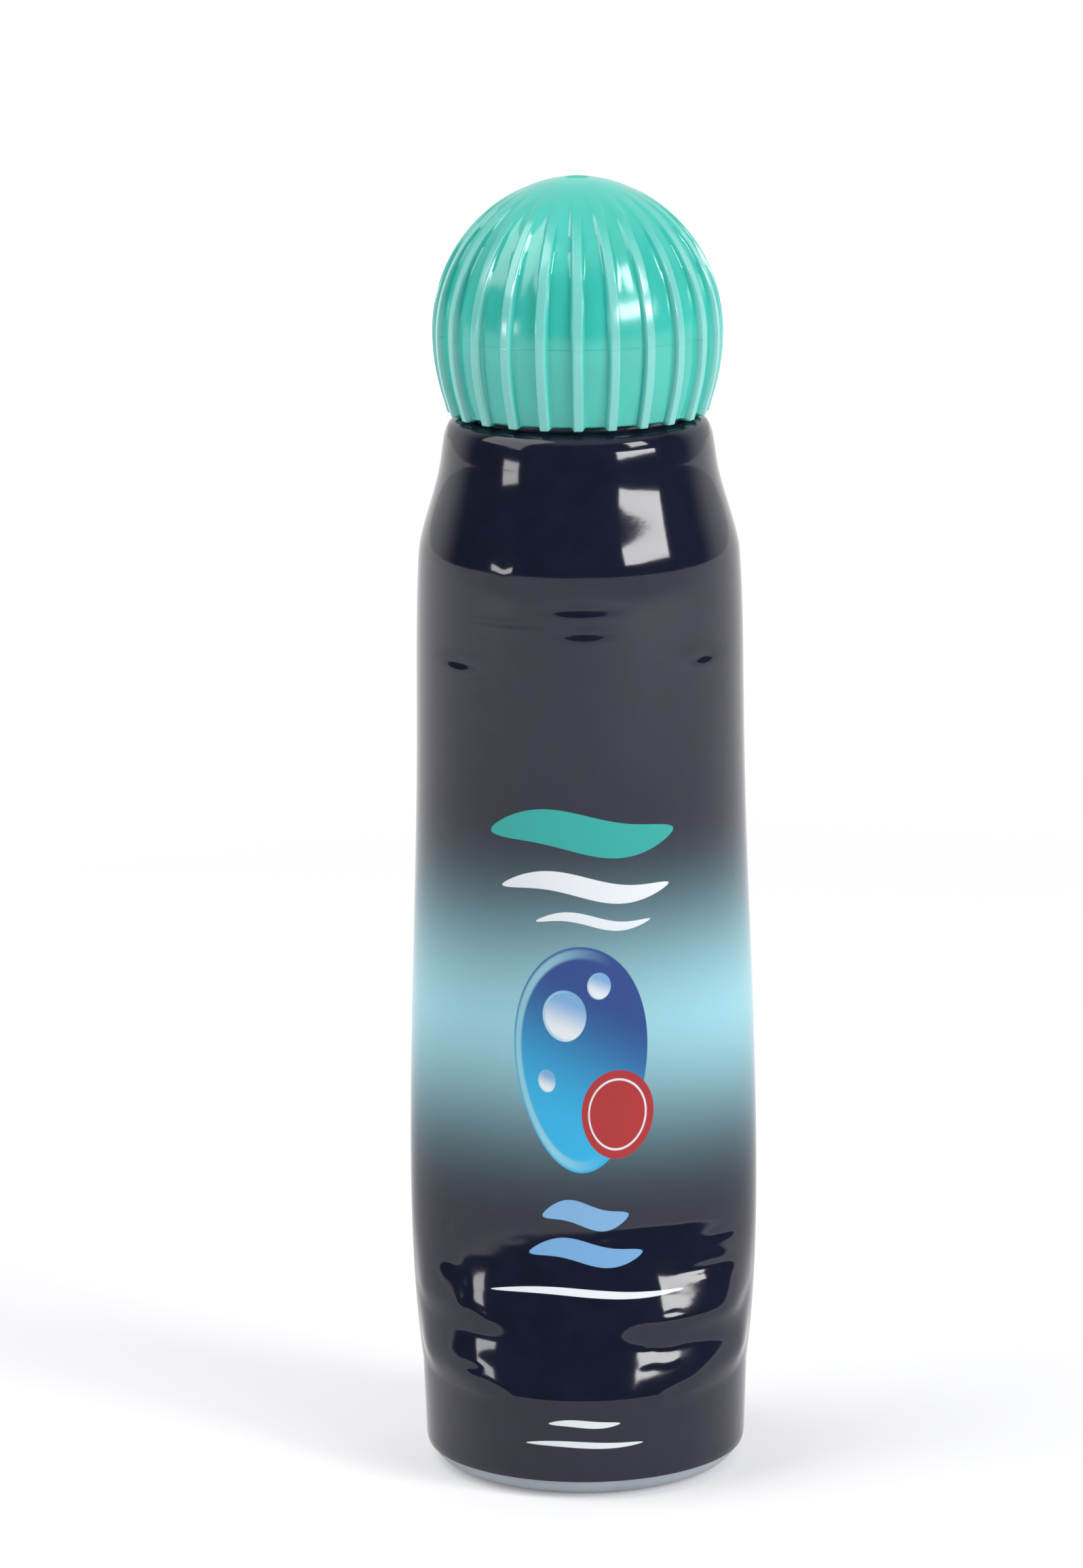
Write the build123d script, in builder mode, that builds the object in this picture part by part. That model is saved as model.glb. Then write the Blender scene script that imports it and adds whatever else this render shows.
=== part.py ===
from build123d import *

import os
from math import pi, sqrt

# Dab-on envelope moistener: a sleeved squeeze bottle whose sprung foam tip
# sits under a ribbed ball-shaped screw cap. Millimetres, standing on z = 0.

# Bottle body: round at its foot and shoulder, and oval between them, where the
# front and back are drawn in to hold it by. Swells and draws run from the body's
# radius, at the sides and at the front and back. Rises run from station to station.
body_radius = 14.83
foot_inset = 0.18
heel_fillet = 2.65
grip_foot_swell = 0.07
press_swell = 0.42
press_draw = 0.94
grip_swell = 0.84
grip_draw = 2.84
belly_swell = 1.02
belly_draw = 4.14
middle_swell = 0.6
middle_draw = 1.9
upper_inset = 0.11
crease_inset = 0.27
foot_band_rise = 6.95
press_rise = 3.0
grip_rise = 6.0
belly_rise = 7.0
middle_rise = 21.4
waist_rise = 20.0
upper_rise = 11.0
crease_rise = 7.5
shoulder_rise = 9.7
collar_rise = 2.9
collar_width = 2.8
collar_fillet = 1.5
wall = 0.9
stand_width = 2.2
push_up = 1.6

# Printed shrink sleeve
film = 0.15
film_gap = 0.05
sleeve_foot_height = 1.8
sleeve_lap = 0.4

# Threaded neck
neck_bore_radius = 8.0
neck_wall = 1.1
neck_rise = 8.9
thread_height = 0.9
thread_lead = 3.0
thread_root_width = 1.6
thread_crest_width = 0.7
thread_foot = 2.0
neck_thread_turns = 1.5
thread_sink = 0.3

# Screw cap
thread_clearance = 0.15
thread_play = 0.2
cap_thread_foot = 1.5
cap_thread_turns = 1.25
rim_gap = 0.5
rim_wall = 1.05
ball_swell = 1.35
ball_rise = 7.1
crown_wall = 1.5
crown_clearance = 1.3
shelf_width = 0.6
gate_radius = 1.1
gate_depth = 0.3

# Grip ribs on the cap
rib_count = 24
rib_height = 0.6
rib_width = 0.95
rib_drop = 0.25
rib_sink = 0.5
rib_start_radius = 5.0

# Sealing ring inside the cap
cap_seal_thickness = 1.0
cap_seal_gap = 0.05
cap_seal_clearance = 0.15
pass_clearance = 0.25

# Valve plug pressed into the neck
press_gap = 0.05
plug_wall = 0.9
plug_depth = 10.3
plate_thickness = 1.5
flange_thickness = 1.2
flange_setback = 0.1
guide_clearance = 0.05
flow_hole_count = 6
flow_hole_radius = 0.8
flow_circle_radius = 4.6
spring_cup_wall = 0.5
spring_cup_rise = 0.7
spring_cup_clearance = 0.2

# Sprung pad carrier
press_travel = 2.5
press_clearance = 0.2
carrier_clearance = 0.1
carrier_plate = 1.1
carrier_skirt_wall = 0.9
stem_radius = 1.5
stem_groove_depth = 0.35
stem_tail = 0.8
feed_hole_count = 8
feed_hole_radius = 0.7
feed_circle_radius = 4.4

# Valve seal and its retainer on the stem
valve_seal_radius = 6.2
valve_seal_thickness = 1.0
retainer_radius = 4.4
retainer_thickness = 1.2
retainer_slot_count = 4
retainer_slot_width = 0.6
retainer_slot_length = 1.6
stem_fit = 0.05

# Valve spring
spring_radius = 2.6
spring_wire = 0.5
spring_turns = 7
spring_seat_gap = 0.02

# Foam pad, its knitted cover and the ring that holds the cover
pad_overhang = 0.15
pad_side = 0.7
pad_dome = 4.0
cover_gap = 0.05
cover_cloth = 0.35
clamp_wall = 0.4
clamp_lip = 0.6

# Heights of the body's stations
grip_foot_height = heel_fillet + foot_band_rise
press_height = grip_foot_height + press_rise
grip_height = press_height + grip_rise
belly_height = grip_height + belly_rise
middle_height = belly_height + middle_rise
waist_height = middle_height + waist_rise
upper_height = waist_height + upper_rise
crease_height = upper_height + crease_rise
collar_foot_height = crease_height + shoulder_rise
ledge_height = collar_foot_height + collar_rise
neck_top = ledge_height + neck_rise

# Radii of the body's round stations
foot_radius = body_radius - foot_inset
grip_foot_radius = body_radius + grip_foot_swell
upper_radius = body_radius - upper_inset
crease_radius = upper_radius - crease_inset

# Radii that follow from the neck
neck_root_radius = neck_bore_radius + neck_wall
thread_radius = neck_root_radius + thread_height
collar_radius = neck_root_radius + collar_width
stand_radius = foot_radius - heel_fillet
stand_inner_radius = stand_radius - stand_width
sleeve_mouth_radius = collar_radius - collar_fillet - sleeve_lap

# Plug, carrier and pad, stacked on the neck
plug_radius = neck_bore_radius - press_gap
plug_bore_radius = plug_radius - plug_wall
flange_radius = neck_root_radius - flange_setback
flange_top = neck_top + flange_thickness
plate_low = neck_top - plug_depth
plate_top = plate_low + plate_thickness
guide_radius = stem_radius + guide_clearance
spring_cup_radius = spring_radius + spring_wire / 2 + spring_cup_clearance
carrier_low = flange_top + press_travel + press_clearance
carrier_top = carrier_low + carrier_plate
skirt_radius = plug_bore_radius - carrier_clearance
skirt_low = plate_top + spring_cup_rise + press_travel + press_clearance
stem_groove_radius = stem_radius - stem_groove_depth
valve_seal_low = plate_low - valve_seal_thickness
retainer_low = valve_seal_low - retainer_thickness
stem_low = retainer_low - stem_tail
pad_radius = plug_bore_radius + pad_overhang
cover_radius = pad_radius + cover_gap + cover_cloth
clamp_bore_radius = cover_radius + cover_gap
clamp_radius = clamp_bore_radius + clamp_wall
pad_top = carrier_top + pad_side + pad_dome
cover_top = pad_top + cover_gap + cover_cloth

# Cap, built round the neck and the pad
cap_bore_radius = thread_radius + thread_clearance
cap_rim_radius = cap_bore_radius + rim_wall
ball_radius = cap_rim_radius + ball_swell
cap_rim_height = ledge_height + film_gap + film + rim_gap
ball_height = cap_rim_height + ball_rise
cap_seal_low = flange_top + cap_seal_gap
shelf_height = cap_seal_low + cap_seal_thickness + cap_seal_gap
cap_seal_radius = cap_bore_radius - cap_seal_clearance
cap_seal_bore_radius = clamp_radius + pass_clearance
hollow_radius = cap_seal_radius - shelf_width
hollow_top = cover_top + crown_clearance
cap_top = hollow_top + crown_wall
crown_rise = cap_top - ball_height

# Handle length of the cubic curve that follows a quarter of an ellipse
quarter_handle = 4 * (sqrt(2) - 1) / 3

os.makedirs("parts", exist_ok=True)


def save(piece, name):
    """Label a finished piece and write it to its own file."""
    piece.part.label = name
    export_step(piece.part, f"parts/{name}.step")


def draw_dome(radius, low, high):
    """Draw a quarter of an ellipse, from the side at low up to the axis at high."""
    rise = high - low
    Bezier(
        (radius, low),
        (radius, low + quarter_handle * rise),
        (quarter_handle * radius, high),
        (0, high),
    )


def sleeved_body(grow):
    """The body from its standing ring to its ledge, moved outwards by grow, as one solid."""
    grip_foot = (grip_foot_radius + grow, grip_foot_height)
    crease = (crease_radius + grow, crease_height)
    collar_foot = (collar_radius + grow, collar_foot_height)
    corner_centre = (collar_radius - collar_fillet, ledge_height - collar_fillet)
    oval_stations = [
        (grip_foot_radius, grip_foot_radius, grip_foot_height),
        (body_radius + press_swell, body_radius - press_draw, press_height),
        (body_radius + grip_swell, body_radius - grip_draw, grip_height),
        (body_radius + belly_swell, body_radius - belly_draw, belly_height),
        (body_radius + middle_swell, body_radius - middle_draw, middle_height),
        (body_radius, body_radius, waist_height),
        (upper_radius, upper_radius, upper_height),
        (crease_radius, crease_radius, crease_height),
    ]
    with BuildPart() as body:
        with BuildSketch(Plane.XZ):
            with BuildLine():
                heel = CenterArc((stand_radius, heel_fillet), heel_fillet + grow, -90, 90)
                Polyline(heel @ 1, grip_foot, (0, grip_foot_height), (0, -grow), heel @ 0)
            make_face()
        revolve(axis=Axis.Z)
        for side_radius, face_radius, height in oval_stations:
            with BuildSketch(Plane.XY.offset(height)):
                Ellipse(side_radius + grow, face_radius + grow)
        loft()
        with BuildSketch(Plane.XZ):
            with BuildLine():
                Spline(crease, collar_foot, tangents=((-crease_inset, crease_rise), (0, 1)))
                corner = CenterArc(corner_centre, collar_fillet + grow, 0, 90)
                Line(collar_foot, corner @ 0)
                Polyline(corner @ 1, (0, ledge_height + grow), (0, crease_height), crease)
            make_face()
        revolve(axis=Axis.Z)
    return body.part


def thread_ridge(root_radius, crest_radius, root_width, crest_width, foot_height, turns):
    """One helical thread ridge, its root sunk into the wall that carries it."""
    outward = 1 if crest_radius > root_radius else -1
    depth = crest_radius - root_radius
    sunk = -outward * thread_sink
    with BuildPart() as ridge:
        with BuildLine() as path:
            Helix(thread_lead, turns * thread_lead, root_radius, center=(0, 0, foot_height))
        start = path.wire() @ 0
        with BuildSketch(Plane(start, x_dir=(1, 0, 0), z_dir=path.wire() % 0)):
            with BuildLine():
                Polyline(
                    (sunk, -root_width / 2),
                    (0, -root_width / 2),
                    (depth, -crest_width / 2),
                    (depth, crest_width / 2),
                    (0, root_width / 2),
                    (sunk, root_width / 2),
                    close=True,
                )
            make_face()
        sweep(path=path.wire(), is_frenet=True)
    return ridge.part


# Bottle: blow-moulded shell with a ring to stand on and a threaded neck
neck_thread = thread_ridge(
    neck_root_radius,
    thread_radius,
    thread_root_width,
    thread_crest_width,
    ledge_height + thread_foot,
    neck_thread_turns,
)
bottle_outside = sleeved_body(0)
bottle_cavity = sleeved_body(-wall)
with BuildPart() as bottle:
    add(bottle_outside)
    with BuildSketch(Plane.XY.offset(ledge_height)):
        Circle(neck_root_radius)
    extrude(amount=neck_rise)
    add(neck_thread)
    add(bottle_cavity, mode=Mode.SUBTRACT)
    with BuildSketch(Plane.XY.offset(ledge_height - wall)):
        Circle(neck_bore_radius)
    extrude(amount=neck_rise + wall, mode=Mode.SUBTRACT)
    for base_height, base_mode in ((wall, Mode.ADD), (0, Mode.SUBTRACT)):
        with BuildSketch(Plane.XZ):
            with BuildLine():
                TangentArc((0, base_height + push_up), (stand_inner_radius, base_height), tangent=(1, 0))
                Polyline((0, base_height + push_up), (0, base_height), (stand_inner_radius, base_height))
            make_face()
        revolve(axis=Axis.Z, mode=base_mode)
save(bottle, "bottle")

# Shrink sleeve: printed film drawn over the body from the heel to the ledge
sleeve_outside = sleeved_body(film_gap + film)
sleeve_inside = sleeved_body(film_gap)
with BuildPart() as shrink_sleeve:
    add(sleeve_outside)
    add(sleeve_inside, mode=Mode.SUBTRACT)
    with BuildSketch(Plane.XY.offset(sleeve_foot_height)):
        Circle(foot_radius + heel_fillet)
    extrude(amount=-heel_fillet, mode=Mode.SUBTRACT)
    with BuildSketch(Plane.XY.offset(ledge_height)):
        Circle(sleeve_mouth_radius)
    extrude(amount=neck_rise, mode=Mode.SUBTRACT)
save(shrink_sleeve, "shrink_sleeve")

# Valve plug: cup pressed into the neck, with a guide, flow holes and a spring seat
with BuildPart() as valve_plug:
    with BuildSketch(Plane.XZ):
        with BuildLine():
            Polyline(
                (guide_radius, plate_low),
                (plug_radius, plate_low),
                (plug_radius, neck_top),
                (flange_radius, neck_top),
                (flange_radius, flange_top),
                (plug_bore_radius, flange_top),
                (plug_bore_radius, plate_top),
                (spring_cup_radius + spring_cup_wall, plate_top),
                (spring_cup_radius + spring_cup_wall, plate_top + spring_cup_rise),
                (spring_cup_radius, plate_top + spring_cup_rise),
                (spring_cup_radius, plate_top),
                (guide_radius, plate_top),
                close=True,
            )
        make_face()
    revolve(axis=Axis.Z)
    with BuildSketch(Plane.XY.offset(plate_low)):
        with PolarLocations(flow_circle_radius, flow_hole_count):
            Circle(flow_hole_radius)
    extrude(amount=plate_thickness, mode=Mode.SUBTRACT)
save(valve_plug, "valve_plug")

# Pad carrier: perforated plate on a skirt and a stem that slide in the plug
with BuildPart() as pad_carrier:
    with BuildSketch(Plane.XZ):
        with BuildLine():
            Polyline(
                (0, stem_low),
                (stem_groove_radius, stem_low),
                (stem_radius, stem_low + stem_groove_depth),
                (stem_radius, retainer_low),
                (stem_groove_radius, retainer_low),
                (stem_groove_radius, valve_seal_low),
                (stem_radius, valve_seal_low),
                (stem_radius, carrier_low),
                (skirt_radius - carrier_skirt_wall, carrier_low),
                (skirt_radius - carrier_skirt_wall, skirt_low),
                (skirt_radius, skirt_low),
                (skirt_radius, carrier_low),
                (pad_radius, carrier_low),
                (pad_radius, carrier_top),
                (0, carrier_top),
                close=True,
            )
        make_face()
    revolve(axis=Axis.Z)
    with BuildSketch(Plane.XY.offset(carrier_low)):
        with PolarLocations(feed_circle_radius, feed_hole_count):
            Circle(feed_hole_radius)
    extrude(amount=carrier_plate, mode=Mode.SUBTRACT)
save(pad_carrier, "pad_carrier")

# Valve seal: rubber washer on the stem, drawn up against the plug's plate
with BuildPart() as valve_seal:
    with BuildSketch(Plane.XY.offset(valve_seal_low)):
        Circle(valve_seal_radius)
        Circle(stem_radius + stem_fit, mode=Mode.SUBTRACT)
    extrude(amount=valve_seal_thickness)
save(valve_seal, "valve_seal")

# Seal retainer: slotted washer snapped into the stem's groove
with BuildPart() as seal_retainer:
    with BuildSketch(Plane.XY.offset(retainer_low)):
        Circle(retainer_radius)
        with PolarLocations(stem_groove_radius, retainer_slot_count):
            Rectangle(retainer_slot_length, retainer_slot_width,
                      align=(Align.MIN, Align.CENTER), mode=Mode.SUBTRACT)
        Circle(stem_groove_radius + stem_fit, mode=Mode.SUBTRACT)
    extrude(amount=retainer_thickness)
save(seal_retainer, "seal_retainer")

# Valve spring: wire wound round the stem, each quarter turn a pair of tangent arcs
spring_foot = plate_top + spring_wire / 2 + spring_seat_gap
spring_head = carrier_low - spring_wire / 2 - spring_seat_gap
coil_pitch = (spring_head - spring_foot) / spring_turns
coil_gap = coil_pitch - spring_wire
quarter_turns = 4 * spring_turns
quarter_rise = coil_pitch / 4
coil_points = [
    Vector(spring_radius, 0, spring_foot + step * quarter_rise).rotate(Axis.Z, 90 * step)
    for step in range(quarter_turns + 1)
]
coil_tangents = [
    Vector(0, 2 * pi * spring_radius, coil_pitch).normalized().rotate(Axis.Z, 90 * step)
    for step in range(quarter_turns + 1)
]
with BuildPart() as valve_spring:
    with BuildLine() as coil:
        for step in range(quarter_turns):
            begin, end = coil_points[step], coil_points[step + 1]
            leave, arrive = coil_tangents[step], coil_tangents[step + 1]
            chord = end - begin
            lean = chord.dot(leave + arrive)
            spread = 2 * (1 - leave.dot(arrive))
            reach = (sqrt(lean**2 + spread * chord.dot(chord)) - lean) / spread
            join = (begin + end + (leave - arrive) * reach) * 0.5
            first = TangentArc(begin, join, tangent=leave)
            TangentArc(join, end, tangent=first % 1)
    with BuildSketch(Plane(coil_points[0], z_dir=coil_tangents[0])):
        Circle(spring_wire / 2)
    sweep(path=coil.wire())
save(valve_spring, "valve_spring")
print(f"valve spring: {spring_turns} turns, least gap between turns {coil_gap:.2f} mm")

# Foam pad: crowned foam block on the carrier
with BuildPart() as foam_pad:
    with BuildSketch(Plane.XZ):
        with BuildLine():
            Polyline((0, pad_top), (0, carrier_top), (pad_radius, carrier_top),
                     (pad_radius, carrier_top + pad_side))
            draw_dome(pad_radius, carrier_top + pad_side, pad_top)
        make_face()
    revolve(axis=Axis.Z)
save(foam_pad, "foam_pad")

# Pad cover: knitted skin over the foam, its hem tucked round the carrier's edge
dome_foot = carrier_top + pad_side
cover_bore_radius = pad_radius + cover_gap
with BuildPart() as pad_cover:
    with BuildSketch(Plane.XZ):
        with BuildLine():
            draw_dome(cover_bore_radius, dome_foot, pad_top + cover_gap)
            draw_dome(cover_radius, dome_foot, cover_top)
            Line((0, pad_top + cover_gap), (0, cover_top))
            Polyline((cover_bore_radius, dome_foot), (cover_bore_radius, carrier_low),
                     (cover_radius, carrier_low), (cover_radius, dome_foot))
        make_face()
    revolve(axis=Axis.Z)
save(pad_cover, "pad_cover")

# Cover ring: hoop that clamps the cover to the carrier
with BuildPart() as cover_ring:
    with BuildSketch(Plane.XY.offset(carrier_low)):
        Circle(clamp_radius)
        Circle(clamp_bore_radius, mode=Mode.SUBTRACT)
    extrude(amount=carrier_plate + clamp_lip)
    fillet(cover_ring.faces().sort_by(Axis.Z)[-1].edges(), clamp_wall / 3)
save(cover_ring, "cover_ring")

# Cap seal: ring held above the cap's thread, closed down on the plug's flange
with BuildPart() as cap_seal:
    with BuildSketch(Plane.XY.offset(cap_seal_low)):
        Circle(cap_seal_radius)
        Circle(cap_seal_bore_radius, mode=Mode.SUBTRACT)
    extrude(amount=cap_seal_thickness)
save(cap_seal, "cap_seal")

# Cap thread: ridge on the same helix as the neck's, hanging below its flank
flank_width = (thread_root_width + thread_crest_width) / 2
thread_drop = flank_width + thread_play
cap_thread_start = cap_rim_height + cap_thread_foot
cap_thread_turn = (cap_thread_start + thread_drop - ledge_height - thread_foot) / thread_lead
cap_thread = thread_ridge(
    cap_bore_radius,
    neck_root_radius + thread_clearance,
    thread_root_width,
    thread_crest_width,
    cap_thread_start,
    cap_thread_turns,
)

# One rib of the cap: a thin radial plate that grows out of the crown
rib_ball_radius = ball_radius + rib_height
rib_crown_rise = (
    crown_rise
    * sqrt(1 - (rib_start_radius / ball_radius) ** 2)
    / sqrt(1 - (rib_start_radius / rib_ball_radius) ** 2)
)
rib_foot_height = cap_rim_height - rib_drop
with BuildPart() as cap_rib:
    with BuildSketch(Plane.XZ):
        with BuildLine():
            draw_dome(rib_ball_radius, ball_height, ball_height + rib_crown_rise)
            TangentArc((rib_ball_radius, ball_height), (cap_rim_radius + rib_height, rib_foot_height),
                       tangent=(0, -1))
            Polyline((0, ball_height + rib_crown_rise), (0, rib_foot_height),
                     (cap_rim_radius + rib_height, rib_foot_height))
        make_face()
        with BuildLine():
            draw_dome(ball_radius - rib_sink, ball_height, cap_top - rib_sink)
            TangentArc((ball_radius - rib_sink, ball_height), (cap_rim_radius - rib_sink, cap_rim_height),
                       tangent=(0, -1))
            Polyline((0, cap_top - rib_sink), (0, rib_foot_height),
                     (cap_rim_radius - rib_sink, rib_foot_height),
                     (cap_rim_radius - rib_sink, cap_rim_height))
        make_face(mode=Mode.SUBTRACT)
        with Locations((0, ball_height)):
            Rectangle(rib_start_radius - rib_sink, crown_rise,
                      align=(Align.MIN, Align.MIN), mode=Mode.SUBTRACT)
    extrude(amount=rib_width / 2, both=True)

# Cap: ball-shaped shell with a threaded bore, a shelf for the seal and a domed hollow
with BuildPart() as cap:
    with BuildSketch(Plane.XZ):
        with BuildLine():
            draw_dome(ball_radius, ball_height, cap_top)
            TangentArc((ball_radius, ball_height), (cap_rim_radius, cap_rim_height), tangent=(0, -1))
            Polyline((cap_rim_radius, cap_rim_height), (cap_bore_radius, cap_rim_height),
                     (cap_bore_radius, shelf_height), (hollow_radius, shelf_height))
            draw_dome(hollow_radius, shelf_height, hollow_top)
            Line((0, hollow_top), (0, cap_top))
        make_face()
    revolve(axis=Axis.Z)
    with PolarLocations(0, rib_count):
        add(cap_rib.part)
    add(cap_thread, rotation=(0, 0, 360 * cap_thread_turn))
    with BuildSketch(Plane.XY.offset(cap_top - gate_depth)):
        Circle(gate_radius)
    extrude(amount=gate_depth, mode=Mode.SUBTRACT)
save(cap, "cap")

print(f"height {cap_top:.2f} mm, belly width {2 * (body_radius + belly_swell + film_gap + film):.2f} mm")
print(f"bottle holds {bottle_cavity.volume / 1000:.1f} ml up to its ledge")
print(f"cap rises {thread_lead:.2f} mm a turn, pad travels {press_travel:.2f} mm")
print(f"spring from {plate_top:.2f} to {carrier_low:.2f} mm, pad top {cover_top:.2f} mm")
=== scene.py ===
from math import asin, cos, pi, radians, sin, sqrt

import bpy
import numpy as np
from mathutils import Matrix, Vector, noise


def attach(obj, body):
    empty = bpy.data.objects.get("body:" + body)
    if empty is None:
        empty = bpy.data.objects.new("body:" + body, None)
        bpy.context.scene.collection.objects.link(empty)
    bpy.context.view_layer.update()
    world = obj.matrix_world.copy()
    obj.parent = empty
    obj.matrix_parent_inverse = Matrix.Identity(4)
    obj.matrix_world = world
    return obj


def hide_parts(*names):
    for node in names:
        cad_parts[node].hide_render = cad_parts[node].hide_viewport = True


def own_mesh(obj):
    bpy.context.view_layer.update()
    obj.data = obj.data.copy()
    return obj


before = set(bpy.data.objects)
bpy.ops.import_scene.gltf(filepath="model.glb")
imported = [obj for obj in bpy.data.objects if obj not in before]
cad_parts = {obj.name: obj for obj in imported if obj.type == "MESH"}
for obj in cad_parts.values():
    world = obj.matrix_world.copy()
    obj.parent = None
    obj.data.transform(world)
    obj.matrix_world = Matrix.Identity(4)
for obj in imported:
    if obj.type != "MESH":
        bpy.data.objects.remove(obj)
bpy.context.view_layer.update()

# Sizes are in millimetres, as in the part's source, and become metres in the meshes
mm = 0.001

# Body under its film: round foot and shoulder, oval between them
heel_fillet = 2.65
stand_radius = 12.0
grip_foot_height = 9.6
crease_height = 85.5
collar_foot_height = 95.2
ledge_height = 98.1
collar_radius = 11.9
collar_fillet = 1.5
film = 0.15
film_gap = 0.05
sleeve_foot_height = 1.8
sleeve_mouth_radius = 10.0

# Height, radius at the sides, radius at the front and back
body_stations = np.array([
    (grip_foot_height, 14.9, 14.9),
    (12.6, 15.25, 13.89),
    (18.6, 15.67, 11.99),
    (25.6, 15.85, 10.69),
    (47.0, 15.43, 12.93),
    (67.0, 14.83, 14.83),
    (78.0, 14.72, 14.72),
    (crease_height, 14.45, 14.45),
])
crease_lean = -0.036

# Rows of the sleeve's mesh: close over the grip, wide apart above it, closer under the shoulder
grip_rows_top = 26.0
grip_rows_step = 0.2
wide_rows_top = 74.0
wide_rows_step = 0.75
upper_rows_step = 0.25

# Film relief: a fold and rolls over the grip, fine wrinkles, slow waves, a seam
# down the back and a swell under the ledge; slack ends where the film is tight
fold_foot = 13.4
fold_height = 16.4
fold_top = 24.4
fold_depth = 0.8
fold_least_share = 0.16
fold_sway = 0.8
roll_curl = 1.4
wrinkle_pitch = 1.55
wrinkle_depth = 0.014
wrinkle_top = 26.0
body_wave_foot = 12.0
body_wave_full = 30.0
body_wave_depth = 0.02
shoulder_wave_depth = 0.005
seam_lap = 0.06
seam_half_width = 1.5
slack_foot = 4.0
slack_top = 94.0
slack_end = 96.0
swell_foot = 87.0
swell_height = 94.0
swell_top = 97.0
swell_depth = 0.38
print_radius = 15.0

# Where the relief fades from nothing to full: radians off the middle of the front or back
fold_start = (0.05, 0.5)
fold_finish = (1.25, 0.85)
fold_edge = (1.45, 1.0)
roll_start = (0.35, 0.75)
roll_edge = (1.4, 1.1)
wrinkle_edge = (0.8, 0.45)

# Film rolls: height at the front, length below and above it, depth, share left at the front
film_rolls = (
    (10.3, 2.8, 4.8, 0.5, 0.25),
    (16.0, 2.4, 5.4, 0.3, 0.0),
)

# Marks pressed into the film: place across and up, half length, half height, depth
film_marks = (
    (-12.6, 77.6, 2.2, 0.62, 0.16),
    (12.9, 78.0, 2.0, 0.7, 0.16),
    (0.1, 83.0, 2.5, 0.42, 0.088),
    (0.4, 80.9, 2.3, 0.5, 0.088),
    (-6.4, 81.6, 4.2, 0.3, 0.042),
    (-13.2, 20.6, 1.1, 0.8, 0.12),
    (-10.9, 11.6, 1.2, 0.5, 0.08),
    (11.4, 20.4, 3.0, 0.5, 0.1),
    (-13.4, 24.2, 0.7, 0.5, 0.08),
    (14.5, 23.2, 2.4, 0.45, 0.09),
    (-7.2, 87.4, 0.5, 1.3, 0.07),
    (4.4, 72.5, 0.8, 2.6, 0.02),
    (-11.3, 18.4, 0.6, 1.3, 0.1),
)

# Pale band of the print: heights where it starts, has risen, starts to fall and ends
print_band_foot = 23
print_band_risen = 45
print_band_fall = 44
print_band_top = 66
print_band_power = 1.7

# Screw cap
rib_count = 24
rib_height = 0.6
rib_drop = 0.25
rib_flat = 0.32
rib_foot = 0.64
rib_start_radius = 5.0
rib_end_radius = 10.5
rib_drop_radius = 10.9
rim_radius = 11.2
rim_height = 98.8
ball_radius = 12.55
ball_height = 105.9
cap_top = 119.9
cap_bore_radius = 10.15
shelf_height = 109.3
hollow_radius = 9.4
hollow_top = 118.4
edge_round = 0.2
gate_radius = 1.1
gate_depth = 0.3
gate_nub_share = 0.45
thread_lead = 3.0
thread_root_width = 1.6
thread_crest_width = 0.7
thread_height = 0.9
thread_start = 100.3
thread_start_turn = 0.5167
thread_turns = 1.25

# Foam pad and its knitted cover
pad_radius = 7.2
pad_low = 112.0
pad_side_top = 112.7
pad_top = 116.7
cover_radius = 7.6
cover_low = 110.9
cover_top = 117.1
cover_cloth = 0.35
knit_depth = 0.02
foam_dent = 0.06

# Valve spring
spring_radius = 2.6
spring_wire = 0.5
spring_turns = 7
spring_foot = 98.2
spring_head = 110.9
spring_seat_gap = 0.02

# Floor: half its side, where its brightness starts to fall and ends, and the light that it
# adds near and far where it is seen, mirrored or seen through
floor_half = 6000
floor_bright = 250
floor_reach = 1600
floor_glow = 0.26
far_glow = 0.85

# Sky: light low, high and behind
low_sky = 0.05
high_sky = 0.78
back_sky = 0.9

# Lamps: turn to the camera's right and tilt in degrees, width and height in metres, power
lamp_aim = (0, 0, 0.06)
lamp_distance = 0.9
softboxes = (
    ("key_box", 51, 18, 0.56, 0.13, 3.8),
    ("left_box", -58, 7, 0.22, 0.09, 0.6),
    ("left_fill", -75, 48, 0.7, 0.7, 4.6),
    ("high_box", 57, 37, 0.24, 0.24, 2.4),
)

# Camera, fitted to the photograph's outline: place in metres, turns in degrees
camera_place = (0, -0.593365, 0.193965)
camera_yaw = 0.3486
camera_dip = 12.354
camera_roll = -0.488
camera_lens = 152.15


def srgb(red, green, blue):
    """A colour as seen on a screen, 0 to 255, in the linear values that shaders take."""
    def linear(value):
        share = value / 255
        return share / 12.92 if share <= 0.04045 else ((share + 0.055) / 1.055) ** 2.4
    return (linear(red), linear(green), linear(blue), 1.0)


NAVY = srgb(23, 26, 44)
PALE_CYAN = srgb(152, 208, 220)
DEEP_BLUE = srgb(24, 66, 138)
SKY_BLUE = srgb(36, 176, 226)
LIGHT_BLUE = srgb(122, 172, 216)
PRINT_TEAL = srgb(38, 168, 160)
PRINT_WHITE = srgb(232, 238, 242)
PRINT_RED = srgb(176, 36, 40)
CAP_TEAL = srgb(58, 190, 176)
# Paler teal painted on the cap's rib crests: a painted highlight
RIB_HIGHLIGHT_TEAL = srgb(132, 210, 204)
BOTTLE_GREY = srgb(174, 181, 190)
NATURAL_WHITE = srgb(226, 228, 226)
CARRIER_WHITE = srgb(216, 219, 220)
RUBBER_BLACK = srgb(46, 46, 50)
GASKET_WHITE = srgb(228, 229, 226)
FOAM_CREAM = srgb(232, 224, 196)
CLOTH_WHITE = srgb(232, 232, 228)
STEEL = srgb(196, 198, 200)
FLOOR_WHITE = srgb(217, 217, 220)

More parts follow.
